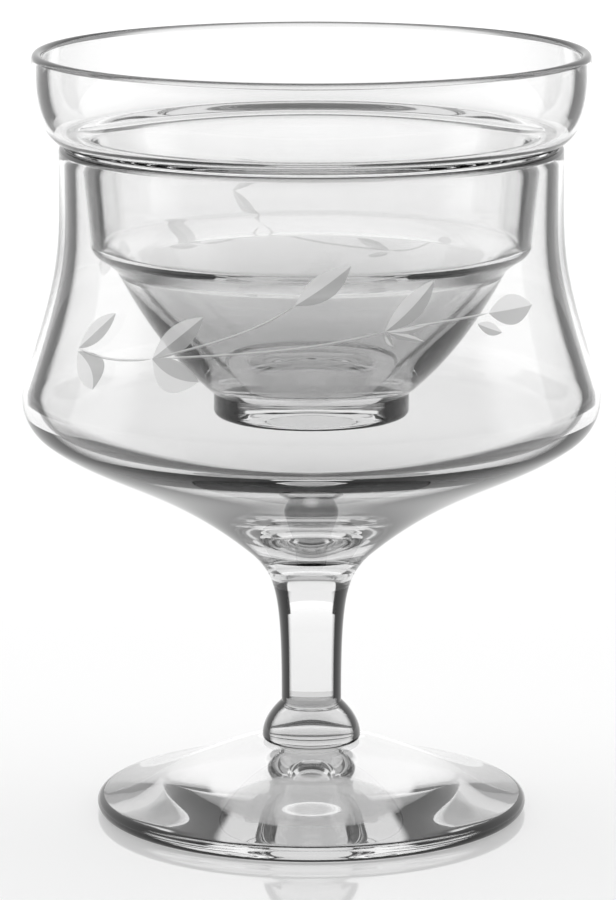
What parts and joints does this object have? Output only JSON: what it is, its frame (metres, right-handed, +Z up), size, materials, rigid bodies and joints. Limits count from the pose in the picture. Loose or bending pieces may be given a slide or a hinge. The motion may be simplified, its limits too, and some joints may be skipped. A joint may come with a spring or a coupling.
{
  "type": "seafood cocktail glass",
  "caption": "Stemmed clear-glass icer with a waisted bowl, knopped stem and round foot, and a loose flared liner bowl that hangs by its ledge in the icer's mouth.",
  "frame": {"origin": "middle of the foot's underside, on the plane the glass stands on", "axes": "+Z up along the axis of the glass; +X and +Y are level and alike, as every piece is turned about Z"},
  "size_m": [0.1016, 0.1016, 0.1354],
  "materials": {
    "icer_glass": "clear, polished, with a leaf spray cut matt into the outside of the bowl",
    "liner_glass": "clear, polished, with a fire-rounded lip"
  },
  "bodies": {
    "icer": {"icer_bowl": "icer_glass", "stem": "icer_glass", "stem_knop": "icer_glass", "foot": "icer_glass"},
    "liner": {"liner_bowl": "liner_glass", "liner_foot": "liner_glass"}
  },
  "joints": [
    {"name": "liner_lift", "type": "slide", "parent": "icer", "child": "liner", "axis": [0, 0, 1], "range_m": [0, 0.06]}
  ]
}
